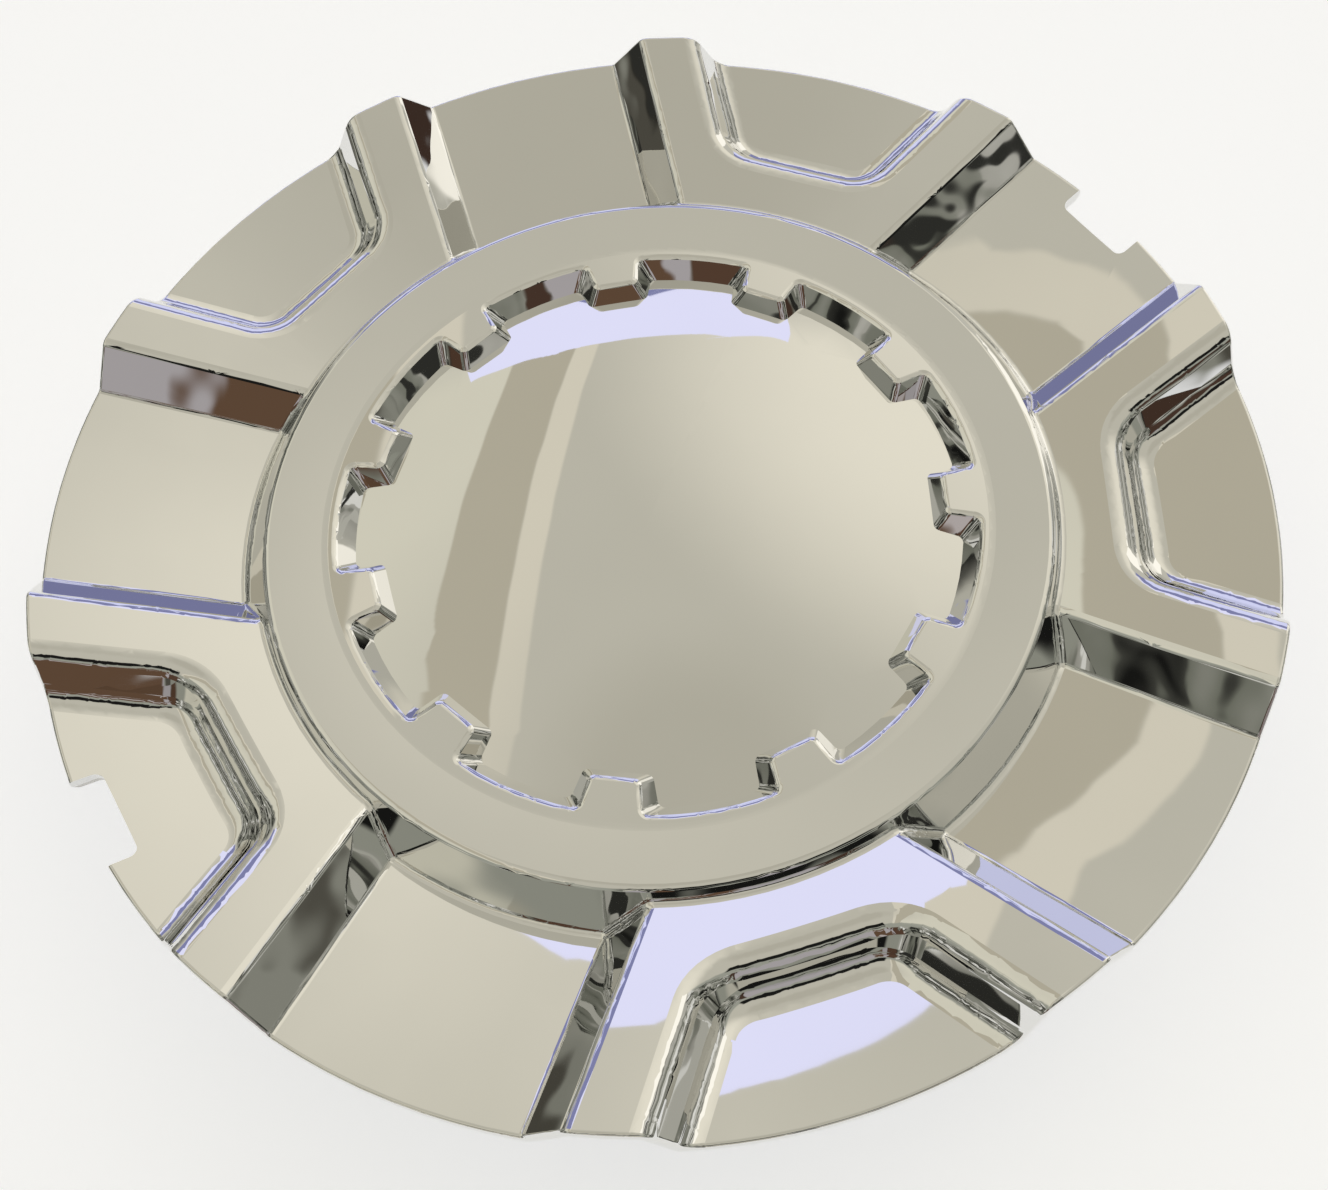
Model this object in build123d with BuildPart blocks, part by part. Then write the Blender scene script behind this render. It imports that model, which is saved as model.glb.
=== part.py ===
"""Chrome plated wheel centre cap: one moulded shell with five raised pads round a toothed ring.

The axis of the cap is Z and its visible face looks up. The origin is the centre of the rim circle,
at the height where the low floors between the pads reach the rim.
"""
import os
from math import cos, radians, sin, sqrt, tan

from build123d import *

# Counts
pad_count = 5
tooth_count = 11
notch_count = 2
leg_count = 10

# Plan sizes, from the toothed well outwards
tooth_root_radius = 57.0
ring_width = 11.8
pad_length = 36.2

# Rim and the low floors between the pads
rim_draft = 8.6
rim_round = 0.5
rim_relief = 1.0
floor_slope = 20.9

# Pads, and the draft shared by every wall that stands on the low floors
pad_slope = 21.8
pad_lift = 7.25
wall_draft = 37.3
pad_wall_turn = 50.5
pad_wall_reach = 44.7
pad_edge_round = 2.2
foot_round = 1.2

# Pocket in the outer part of each pad, open at the rim, with side walls that follow the pad's
pocket_margin = 11.0
pocket_slope = 23.2
pocket_drop = 0.8
pocket_wall_turn = 19.5
pad_arm_reach = 33.75
pocket_draft = 31.0
pocket_corner = 8.0
pocket_edge_round = 4.0
pocket_foot_round = 4.0

# Ring, which dips to a crease near the teeth
ring_edge_depth = 4.4
ring_crease_depth = 6.4
ring_crease_margin = 1.8
ring_edge_round = 1.2
ring_crease_round = 6.0

# Toothed well inside the ring and its domed floor
tooth_length = 6.1
tooth_tip_width = 7.9
tooth_flare = 11.0
tooth_corner_round = 1.5
well_draft = 34.0
well_depth = 3.9
well_edge_round = 1.2
dome_rise = 4.4

# Pry notches in the rim
notch_width = 16.0
notch_depth = 4.7
notch_corner = 1.5

# Shell and what stands behind it
skin = 2.5
collar_margin = 1.0
collar_wall = 2.4
collar_depth = 38.0
leg_gap = 12.0
leg_length = 17.0
barb_height = 1.4
barb_length = 4.0
rib_thickness = 2.0
rib_depth = 24.0
rib_end_margin = 9.0
rib_end_height = 3.0

# Spare height and reach given to blocks that are trimmed later
below = 60.0
above = 14.0
margin = 8.0


def slide(draft, height):
    """Sideways travel of a drafted wall over a height."""
    return height * tan(radians(draft))


def across(draft, thickness):
    """Horizontal distance through a drafted wall of a given thickness."""
    return thickness / cos(radians(draft))


# One tooth and both notches lie on a line midway between two pads
pad_pitch = 360 / pad_count
key_angle = -pad_pitch / 2

tooth_tip_radius = tooth_root_radius - tooth_length
collar_radius = tooth_root_radius + collar_margin
ring_crease_radius = tooth_root_radius + ring_crease_margin
ring_edge_radius = tooth_root_radius + ring_width
pocket_inner_edge = ring_edge_radius + pocket_margin
pocket_wall_reach = pad_wall_reach - pad_arm_reach
rim_radius = ring_edge_radius + pad_length
rib_end_radius = rim_radius - rib_end_margin
block_radius = rim_radius + margin
well_floor_depth = ring_crease_depth + well_depth
well_foot_radius = tooth_root_radius - slide(well_draft, well_depth)


def floor_height(radius):
    return (radius - rim_radius) * tan(radians(floor_slope))


def pad_height(radius):
    return pad_lift + (radius - rim_radius) * tan(radians(pad_slope))


def pocket_height(radius):
    return (radius - rim_radius) * tan(radians(pocket_slope)) - pocket_drop


def half_section(*points):
    """Closed outline in the plane of the axis, given as radius and height."""
    with BuildSketch(Plane.XZ) as outline:
        Polygon(*points, align=None)
    return outline.sketch


def cone_section(height, slope, inset):
    """Everything under a cone, which levels off near the axis."""
    sink = across(slope, inset)
    level = 2 * margin
    far = block_radius + inset
    return half_section(
        (0, -below - inset),
        (far, -below - inset),
        (far, height(far) - sink),
        (level, height(level) - sink),
        (0, height(level) - sink),
    )


def ring_section(inset):
    """Everything under the ring, whose top dips to a crease and runs on level inside it."""
    edge = ring_edge_radius + slide(wall_draft, inset) - across(wall_draft, inset)
    return half_section(
        (0, -below - inset),
        (edge, -below - inset),
        (edge + slide(wall_draft, below / 2 - ring_edge_depth - inset), -below / 2),
        (edge, -ring_edge_depth - inset),
        (ring_crease_radius, -ring_crease_depth - inset),
        (0, -ring_crease_depth - inset),
    )


def pads_under(inset):
    """Five blunt wedges under the pad cone, with every wall moved in by the inset."""
    reach = pad_wall_reach - slide(wall_draft, below / 2) + across(wall_draft, inset)
    apex = reach / sin(radians(pad_wall_turn))
    far = 2 * rim_radius
    spread = (far - apex) * tan(radians(pad_wall_turn))
    with BuildPart() as wedges:
        for pad in range(pad_count):
            with BuildSketch(Plane.XY.offset(-below / 2).rotated((0, 0, pad * pad_pitch))):
                Polygon((apex, 0), (far, -spread), (far, spread), align=None)
            extrude(amount=below / 2 + above, taper=wall_draft)
        revolve(cone_section(pad_height, pad_slope, inset), axis=Axis.Z, mode=Mode.INTERSECT)
        if not inset:
            tops = wedges.faces().filter_by(GeomType.CONE)
            fillet(tops.edges().filter_by(GeomType.HYPERBOLA), pad_edge_round)
    return wedges.part


def pocket_over(inset):
    """Room over the pocket floor of the pad on X, with its walls and floor moved out by the inset."""
    turn = radians(pocket_wall_turn)
    near, far = rim_radius / 2, 2 * rim_radius
    with BuildPart() as room:
        for level in (-above, above):
            inner = pocket_inner_edge - slide(pocket_draft, level) - across(pocket_draft, inset)
            reach = slide(pocket_draft, level) + across(pocket_draft, inset) - pocket_wall_reach
            inner_spread = (reach + inner * sin(turn)) / cos(turn)
            far_spread = (reach + far * sin(turn)) / cos(turn)
            with BuildSketch(Plane.XY.offset(level)):
                Polygon(
                    (inner, -inner_spread),
                    (far, -far_spread),
                    (far, far_spread),
                    (inner, inner_spread),
                    align=None,
                )
        loft(ruled=True)
        corners = room.edges().filter_by(lambda edge: abs(edge.center().Z) < margin).group_by(Axis.X)[0]
        fillet(corners, pocket_corner)
        sink = across(pocket_slope, inset)
        revolve(
            half_section(
                (near, pocket_height(near) - sink),
                (far, pocket_height(far) - sink),
                (far, pocket_height(far) + above),
                (near, pocket_height(far) + above),
            ),
            axis=Axis.Z,
            mode=Mode.INTERSECT,
        )
        if not inset:
            fillet(room.edges(Select.NEW), pocket_foot_round)
    return room.part


def block_under(inset):
    """Solid whose top carries the floors, pads, pockets and ring, all moved in by the inset."""
    with BuildPart() as block:
        add(pads_under(inset))
        revolve(cone_section(floor_height, floor_slope, inset), axis=Axis.Z)
        for pad in range(pad_count):
            add(pocket_over(inset).rotate(Axis.Z, pad * pad_pitch), mode=Mode.SUBTRACT)
            if not inset:
                fillet(block.edges(Select.NEW), pocket_edge_round)
        revolve(ring_section(inset), axis=Axis.Z)
        if not inset:
            wall_feet = block.edges().filter_by(GeomType.HYPERBOLA)
            fillet(block.edges(Select.NEW) + wall_feet, foot_round)
            circles = block.edges().filter_by(GeomType.CIRCLE)
            fillet(circles.filter_by(lambda edge: edge.radius == ring_edge_radius), ring_edge_round)
            circles = block.edges().filter_by(GeomType.CIRCLE)
            fillet(circles.filter_by(lambda edge: edge.radius == ring_crease_radius), ring_crease_round)
    return block.part


def dome_ball(thickness):
    """Ball whose top is the domed floor of the well, or its underside at the given thickness."""
    radius = (well_foot_radius**2 + dome_rise**2) / (2 * dome_rise)
    with BuildPart() as ball:
        with Locations((0, 0, dome_rise - well_floor_depth - radius)):
            Sphere(radius - thickness)
    return ball.part


def well_over():
    """Room inside the toothed ring, from its level top down to the domed floor."""
    root_reach = tooth_root_radius + margin - tooth_tip_radius
    root_width = tooth_tip_width + 2 * slide(tooth_flare, root_reach)
    with BuildPart() as room:
        with BuildSketch(Plane.XY.offset(-ring_crease_depth)):
            Circle(tooth_root_radius)
            with PolarLocations(tooth_tip_radius, tooth_count, start_angle=key_angle):
                Polygon(
                    (0, -tooth_tip_width / 2),
                    (root_reach, -root_width / 2),
                    (root_reach, root_width / 2),
                    (0, tooth_tip_width / 2),
                    align=None,
                    mode=Mode.SUBTRACT,
                )
        extrude(amount=-well_depth, taper=well_draft)
        corners = room.edges() - room.faces().filter_by(Axis.Z).edges()
        fillet(corners, tooth_corner_round)
    return room.part


# Room behind the skin, which stops short of the middle where the domed floor lies
with BuildPart() as middle:
    Cylinder(collar_radius, below)
    add(dome_ball(skin), mode=Mode.SUBTRACT)

with BuildPart() as hollow:
    add(block_under(skin))
    add(middle.part, mode=Mode.SUBTRACT)

# Collar behind the dome, slotted into legs that each end in an outward barb
with BuildPart() as collar:
    revolve(
        half_section(
            (collar_radius - collar_wall, -collar_depth),
            (collar_radius, -collar_depth),
            (collar_radius + barb_height, barb_length - collar_depth),
            (collar_radius, barb_length + barb_height - collar_depth),
            (collar_radius, -well_floor_depth),
            (collar_radius - collar_wall, -well_floor_depth),
        ),
        axis=Axis.Z,
    )
    with BuildSketch(Plane.XY.offset(-collar_depth)):
        with PolarLocations(collar_radius, leg_count):
            Rectangle(2 * margin, leg_gap)
    extrude(amount=leg_length, mode=Mode.SUBTRACT)

# Ribs from the collar to the low floors, with their tops buried in the skin
with BuildPart() as ribs:
    for rib in range(pad_count):
        with BuildSketch(Plane.XZ.rotated((0, 0, (rib + 1 / 2) * pad_pitch))):
            Polygon(
                (collar_radius - collar_wall / 2, -rib_depth),
                (rib_end_radius, floor_height(rib_end_radius) - skin - rib_end_height),
                (rib_end_radius, 0),
                (collar_radius - collar_wall / 2, 0),
                align=None,
            )
        extrude(amount=rib_thickness / 2, both=True)
    add(block_under(skin / 2), mode=Mode.INTERSECT)

# Domed floor of the well
with BuildPart() as dome:
    Cylinder(well_foot_radius, below)
    add(dome_ball(0), mode=Mode.INTERSECT)
    add(dome_ball(skin), mode=Mode.SUBTRACT)


def on_rim(edge):
    """Whether an edge lies on the drafted face of the rim."""
    middle = edge.center()
    reach = sqrt(middle.X**2 + middle.Y**2)
    return abs(reach + slide(rim_draft, middle.Z) - rim_radius) < rim_round


with BuildPart() as center_cap:
    add(block_under(0))
    rim_section = half_section(
        (0, -below),
        (rim_radius + slide(rim_draft, below), -below),
        (rim_radius - slide(rim_draft, above), above),
        (0, above),
    )
    revolve(rim_section, axis=Axis.Z, mode=Mode.INTERSECT)
    fillet(center_cap.edges(Select.NEW).filter_by(lambda edge: edge.center().Z > -below / 2), rim_round)
    add(hollow.part, mode=Mode.SUBTRACT)
    chamfer(center_cap.edges(Select.NEW).filter_by(on_rim), rim_relief)
    for notch in range(notch_count):
        turn = key_angle + notch * 360 / notch_count
        with BuildSketch(Plane.XY.offset(above).rotated((0, 0, turn))):
            with Locations((rim_radius + margin, 0)):
                RectangleRounded(2 * (notch_depth + margin), notch_width, notch_corner)
        extrude(amount=-2 * above, mode=Mode.SUBTRACT)
    add(collar.part)
    add(ribs.part)
    add(well_over(), mode=Mode.SUBTRACT)
    level_top = center_cap.faces().filter_by(Axis.Z).sort_by(Axis.Z)[-1]
    fillet(level_top.inner_wires().edges(), well_edge_round)
    add(dome.part)
center_cap.part.label = "center_cap"

os.makedirs("parts", exist_ok=True)
export_step(center_cap.part, "parts/center_cap.step")
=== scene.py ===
import math

import bmesh
import bpy
from mathutils import Matrix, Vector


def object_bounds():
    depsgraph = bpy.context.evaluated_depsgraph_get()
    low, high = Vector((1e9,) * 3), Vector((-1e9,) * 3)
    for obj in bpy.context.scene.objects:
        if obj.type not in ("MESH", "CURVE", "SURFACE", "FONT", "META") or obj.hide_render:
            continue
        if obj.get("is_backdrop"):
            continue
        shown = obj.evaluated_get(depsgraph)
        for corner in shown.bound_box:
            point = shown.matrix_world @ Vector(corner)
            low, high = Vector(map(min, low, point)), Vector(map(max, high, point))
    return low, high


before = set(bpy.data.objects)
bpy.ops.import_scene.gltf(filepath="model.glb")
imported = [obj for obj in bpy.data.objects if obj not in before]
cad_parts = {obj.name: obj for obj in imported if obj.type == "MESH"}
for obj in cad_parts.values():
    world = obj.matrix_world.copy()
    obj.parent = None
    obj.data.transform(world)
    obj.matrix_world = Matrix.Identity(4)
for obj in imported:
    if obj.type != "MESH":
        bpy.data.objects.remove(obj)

cad_low, cad_high = (list(corner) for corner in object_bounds())


# The cap: one ABS moulding, plated all over with copper, nickel and a bright chrome flash.
# The mould is polished where the face forms and left satin behind, so the plating shines in
# front and is duller on the ribs, the collar and the snap legs. It pushes into the wheel's bore.
class Value:
    """A socket that can be used in arithmetic; each operation adds its Math node."""

    def __init__(self, finish, socket):
        self.finish = finish
        self.socket = socket

    def __add__(self, other):
        return self.finish.maths("ADD", self, other)

    def __radd__(self, other):
        return self.finish.maths("ADD", other, self)

    def __sub__(self, other):
        return self.finish.maths("SUBTRACT", self, other)

    def __rsub__(self, other):
        return self.finish.maths("SUBTRACT", other, self)

    def __mul__(self, other):
        return self.finish.maths("MULTIPLY", self, other)

    def __rmul__(self, other):
        return self.finish.maths("MULTIPLY", other, self)

    def __truediv__(self, other):
        return self.finish.maths("DIVIDE", self, other)

    def __abs__(self):
        return self.finish.maths("ABSOLUTE", self)

    def larger(self, other):
        return self.finish.maths("MAXIMUM", self, other)

    def under(self, edge):
        return self.finish.maths("LESS_THAN", self, edge)


class Finish:
    """The node tree of a material or a world; every node in it is made by one method."""

    def __init__(self, owner):
        owner.use_nodes = True
        self.tree = owner.node_tree
        self.tree.nodes.clear()

    def node(self, kind, settings=None, **sockets):
        """Adds a node. Sockets are given by name, or by number after an underscore."""
        made = self.tree.nodes.new(kind)
        for name, setting in (settings or {}).items():
            if name == "stops":
                ramp = made.color_ramp
                while len(ramp.elements) < len(setting):
                    ramp.elements.new(0.5)
                for element, (place, colour) in zip(ramp.elements, setting):
                    element.position = place
                    element.color = (*colour, 1)
            else:
                setattr(made, name, setting)
        for name, value in sockets.items():
            socket = made.inputs[int(name[1:]) if name[1:].isdigit() else name.replace("_", " ")]
            if isinstance(value, Value):
                self.tree.links.new(value.socket, socket)
            elif isinstance(value, bpy.types.Node):
                self.tree.links.new(value.outputs[0], socket)
            elif socket.type == "RGBA":
                socket.default_value = (*value, 1)
            else:
                socket.default_value = value
        return made

    def value(self, node, output=0):
        return Value(self, node.outputs[output])

    def maths(self, operation, *values):
        inputs = {f"_{place}": value for place, value in enumerate(values)}
        return self.value(self.node("ShaderNodeMath", {"operation": operation}, **inputs))

    def noise(self, place, scale, detail, roughness=0.5):
        spread = {"Vector": place, "Scale": scale, "Detail": detail, "Roughness": roughness}
        return self.value(self.node("ShaderNodeTexNoise", **spread))

    def blend(self, share, under, over):
        """One colour laid over another by a share from 0 to 1."""
        return self.value(self.node("ShaderNodeMix", {"data_type": "RGBA"}, _0=share, _6=under, _7=over), 2)


rim_reach = 0.105
floor_rise = math.tan(math.radians(20.9))
face_margin = -0.0027
facing_down = -0.15
flat_wall = 0.86
steep_wall = 0.70
bright_chrome = (0.80, 0.80, 0.785)
hazy_chrome = (0.765, 0.765, 0.755)
satin_chrome = (0.62, 0.61, 0.585)

plating = bpy.data.materials.new("chrome_plating")
coat = Finish(plating)
on_cap = coat.node("ShaderNodeTexCoord")
spot = coat.value(on_cap, "Object")
height = coat.value(coat.node("ShaderNodeSeparateXYZ", Vector=spot), "Z")
flat = coat.node("ShaderNodeVectorMath", {"operation": "MULTIPLY"}, _0=spot, _1=(1, 1, 0))
reach = coat.value(coat.node("ShaderNodeVectorMath", {"operation": "LENGTH"}, _0=flat), "Value")
upward = coat.value(coat.node("ShaderNodeSeparateXYZ", Vector=coat.value(on_cap, "Normal")), "Z")

# Behind is all that lies under the cone of the floors, or looks down
behind = (height - (reach - rim_reach) * floor_rise).under(face_margin).larger(upward.under(facing_down))

# A faint haze, a fine grain that only the satin side shows, and the slight waves of plated plastic
mist = coat.noise(spot, 38, 2, 0.55)
grain = coat.noise(spot, 900, 1, 0.6)
ripple = coat.noise(spot, 70, 1, 0.4)
wave = coat.noise(spot, 130, 0)
steep = coat.value(coat.node("ShaderNodeMapRange", Value=upward, From_Min=flat_wall, From_Max=steep_wall))
front_rough = 0.008 + mist * 0.025
back_rough = 0.2 + mist * 0.1 + grain * 0.06
relief = ripple * 0.05 + steep * wave * 0.33
metal = coat.node(
    "ShaderNodeBsdfPrincipled",
    Base_Color=coat.blend(behind, coat.blend(mist, bright_chrome, hazy_chrome), satin_chrome),
    Metallic=1.0,
    Roughness=front_rough + behind * (back_rough - front_rough),
    Normal=coat.node("ShaderNodeBump", Strength=1.0, Distance=0.0004, Height=relief),
)
coat.node("ShaderNodeOutputMaterial", Surface=metal)

cap = bpy.data.objects["center_cap"]
cap.data.materials.clear()
cap.data.materials.append(plating)


# The studio floor: a pale matt sweep that the cap lies on, on the ends of its legs. It glows a
# little to the eye and to the metal, so that it reads as white paper, and it keeps the shadow.
floor_level = cad_low[2]
floor_reach = 8.0
paper_white = (0.9, 0.9, 0.9)
paper_glow = (0.93, 0.95, 1.0)
glow_strength = 0.5

sweep = bmesh.new()
level = Matrix.Translation((0, 0, floor_level))
bmesh.ops.create_circle(sweep, cap_ends=True, radius=floor_reach, segments=96, matrix=level)
floor_mesh = bpy.data.meshes.new("floor")
sweep.to_mesh(floor_mesh)
sweep.free()
floor = bpy.data.objects.new("floor", floor_mesh)
bpy.context.scene.collection.objects.link(floor)
floor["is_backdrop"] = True

paper = bpy.data.materials.new("paper")
sheet = Finish(paper)
ray = sheet.node("ShaderNodeLightPath")
seen = sheet.value(ray, "Is Camera Ray").larger(sheet.value(ray, "Is Glossy Ray"))
seen = seen.larger(sheet.value(ray, "Is Transmission Ray"))
matt = sheet.node("ShaderNodeBsdfDiffuse", Color=paper_white)
shine = sheet.node("ShaderNodeEmission", Color=paper_glow, Strength=seen * glow_strength)
sheet.node("ShaderNodeOutputMaterial", Surface=sheet.node("ShaderNodeAddShader", _0=matt, _1=shine))
floor_mesh.materials.append(paper)


# The room that lights the cap and shows in its metal: a cream ceiling with one dropped beam, a
# tall window on the far side with a lower and wider one under it, a side window, shelves along
# the side walls, and a cupboard and a door behind the camera. All of it is far away.
far_side = math.radians(26.35)
cream = (0.60, 0.575, 0.485)
lit_cream = (0.95, 0.90, 0.76)
shaded_cream = (0.53, 0.505, 0.42)
far_cream = (0.77, 0.74, 0.61)
light_strip = (0.78, 0.73, 0.60)
beam_side = (0.53, 0.49, 0.385)
plaster = (0.62, 0.60, 0.52)
upper_wall = (0.37, 0.375, 0.32)
panel_dark = (0.08, 0.075, 0.06)
panel_light = (0.26, 0.26, 0.22)
shelf_gap = (0.03, 0.03, 0.026)
pale_board = (0.55, 0.54, 0.48)
door_paint = (0.44, 0.41, 0.42)
door_frame = (0.07, 0.04, 0.028)
dark_wood = (0.10, 0.055, 0.035)
brown_wood = (0.13, 0.075, 0.045)
cupboard_ledge = (0.50, 0.45, 0.44)
black_stand = (0.012, 0.012, 0.011)
window_sill = (0.05, 0.03, 0.022)
warm_daylight = (1.25, 1.2, 1.08)
daylight = (0.92, 0.92, 1.2)
low_daylight = (0.80, 0.82, 1.15)
window_blind = (0.26, 0.27, 0.50)
skirting = (0.85, 0.85, 0.85)
shelves = {
    "stops": (
        (0.34, (0.010, 0.010, 0.009)),
        (0.40, (0.05, 0.05, 0.042)),
        (0.43, (0.18, 0.185, 0.15)),
        (0.55, (0.27, 0.27, 0.23)),
        (0.58, (0.40, 0.39, 0.345)),
        (0.65, (0.48, 0.47, 0.42)),
        (0.67, (0.85, 0.84, 0.79)),
    )
}

room = bpy.data.worlds.new("room")
bpy.context.scene.world = room
room.cycles.sampling_method = "NONE"
air = Finish(room)
toward = air.value(air.node("ShaderNodeTexCoord"), "Generated")
to_far_side = {"Vector": toward, "Rotation": (0, 0, -far_side)}
bearing = air.node("ShaderNodeMapping", {"vector_type": "POINT"}, **to_far_side)
axes = air.node("ShaderNodeSeparateXYZ", Vector=bearing)
ahead, leftward, overhead = (air.value(axes, axis) for axis in "XYZ")

# Degrees from the far side, anticlockwise from above; from the near side; and up from level
turn = air.maths("ARCTAN2", leftward, ahead) * math.degrees(1)
back = air.maths("ARCTAN2", 0 - leftward, 0 - ahead) * math.degrees(1)
rise = air.maths("ARCSINE", overhead) * math.degrees(1)


def slope(amount, low, high):
    """A soft step from 0 at one edge to 1 at the other."""
    step = {"interpolation_type": "SMOOTHSTEP"}
    return air.value(air.node("ShaderNodeMapRange", step, Value=amount, From_Min=low, From_Max=high))


def between(amount, low, high, soft):
    return slope(amount, low - soft, low + soft) * slope(amount, high + soft, high - soft)


def toward_point(at_turn, at_rise):
    """Cosine of the angle between a direction and one point of the room."""
    level_share = math.cos(math.radians(at_rise))
    point_ahead = level_share * math.cos(math.radians(at_turn))
    point_leftward = level_share * math.sin(math.radians(at_turn))
    return ahead * point_ahead + leftward * point_leftward + overhead * math.sin(math.radians(at_rise))


# The ceiling is brightest over the side window. Across it runs the beam, lit along one edge.
across = (leftward + 0.175 * ahead) / overhead.larger(0.1)
ceiling = air.blend(slope(toward_point(-40, 35), 0.78, 1.0), cream, lit_cream)
ceiling = air.blend(slope(rise, 70, 82), ceiling, shaded_cream)
ceiling = air.blend(slope(across, 0.50, 0.54) * slope(rise, 75, 45), ceiling, far_cream)
ceiling = air.blend(between(across, 0.32, 0.38, 0.004) * slope(rise, 85, 60), ceiling, light_strip)
ceiling = air.blend(between(across, 0.38, 0.535, 0.004), ceiling, beam_side)

# The side walls hold shelves, in places in deeper shade, over a panelled foot.
clutter = air.noise(bearing, 6.0, 2, 0.55)
shade = clutter - 0.08 * between(turn, 30, 60, 4) * slope(rise, 26, 20)
shade = shade - 0.07 * between(turn, 92, 125, 6) * slope(rise, 20, 12) + 0.1 * between(turn, -75, -42, 8)
boards = air.node("ShaderNodeMapping", {"vector_type": "POINT"}, Vector=bearing, Scale=(0.8, 0.8, 9.0))
gaps = air.noise(boards, 2.2, 1)
walls = air.value(air.node("ShaderNodeValToRGB", shelves, Fac=shade))
walls = air.blend(slope(gaps, 0.42, 0.40), walls, shelf_gap)
walls = air.blend(slope(gaps, 0.60, 0.62) * slope(turn, 94, 86), walls, pale_board)
panel = air.blend(slope(clutter, 0.36, 0.45), panel_dark, panel_light)
walls = air.blend(slope(rise, 8, 9), panel, walls)

# Behind the camera stand a wooden cupboard with two pale ledges and, beside it, a painted door.
edge = back + (clutter - 0.5) * 6
cupboard = slope(edge + 8 * slope(rise, 21, 17), -11, -9) * slope(edge, 8, 6)
ledge = rise + clutter * 8
walls = air.blend(between(edge, 7, 24, 1), walls, door_paint)
walls = air.blend(between(edge, -19, -9, 1), walls, door_paint)
walls = air.blend(between(edge, 24, 33, 1), walls, door_frame)
walls = air.blend(between(edge, -34, -19, 1) * slope(rise, 9, 11), walls, dark_wood)
walls = air.blend(cupboard, walls, brown_wood)
walls = air.blend(cupboard * between(ledge, 12.5, 15, 0.5), walls, cupboard_ledge)
walls = air.blend(cupboard * between(ledge, 33, 36, 0.5), walls, cupboard_ledge)

# The far wall is plain plaster, and all walls end higher the nearer they are to the camera.
walls = air.blend(between(turn, -60, 33, 5), walls, plaster)
walls = air.blend(slope(rise, 35, 38) * slope(abs(turn), 60, 80), walls, upper_wall)
view = air.blend(slope(rise + abs(turn) * -0.1, 31, 36), walls, ceiling)
view = air.blend(between(back, -20, 44, 3) * between(rise, 44, 56, 1), view, black_stand)

# The windows come last, and a pale skirting where the walls meet the floor.
lower_window = between(turn, -28, 27, 0.3) * between(rise, 4, 33, 0.3)
view = air.blend(between(turn, -64, -32, 2) * slope(rise, 4.2, 3.8), view, window_sill)
view = air.blend(between(turn, -57, -40, 0.5) * between(rise, 4, 40, 0.5), view, warm_daylight)
view = air.blend(lower_window, view, low_daylight)
view = air.blend(lower_window * slope(rise, 20.5, 22), view, window_blind)
view = air.blend(between(turn, -17.5, 19.5, 0.05) * between(rise, 32.5, 38, 0.02), view, daylight)
view = air.blend(slope(rise, 0.8, 0), view, skirting)
air.node("ShaderNodeOutputWorld", Surface=air.node("ShaderNodeBackground", Color=view, Strength=1.0))


# The camera, where the photo was taken from: close to the cap, so that its near side looks larger.
lens = bpy.data.cameras.new("camera")
lens.lens = 34.126
lens.sensor_width = 36
lens.shift_x = -0.01964
lens.shift_y = -0.00164
lens.clip_start = 0.01
camera = bpy.data.objects.new("camera", lens)
camera.location = (-0.104287, -0.051655, 0.184427)
camera.rotation_euler = [math.radians(angle) for angle in (27.1217, 2.1776, -70.1975)]
bpy.context.scene.collection.objects.link(camera)
bpy.context.scene.camera = camera
bpy.context.scene.view_settings.view_transform = "Standard"
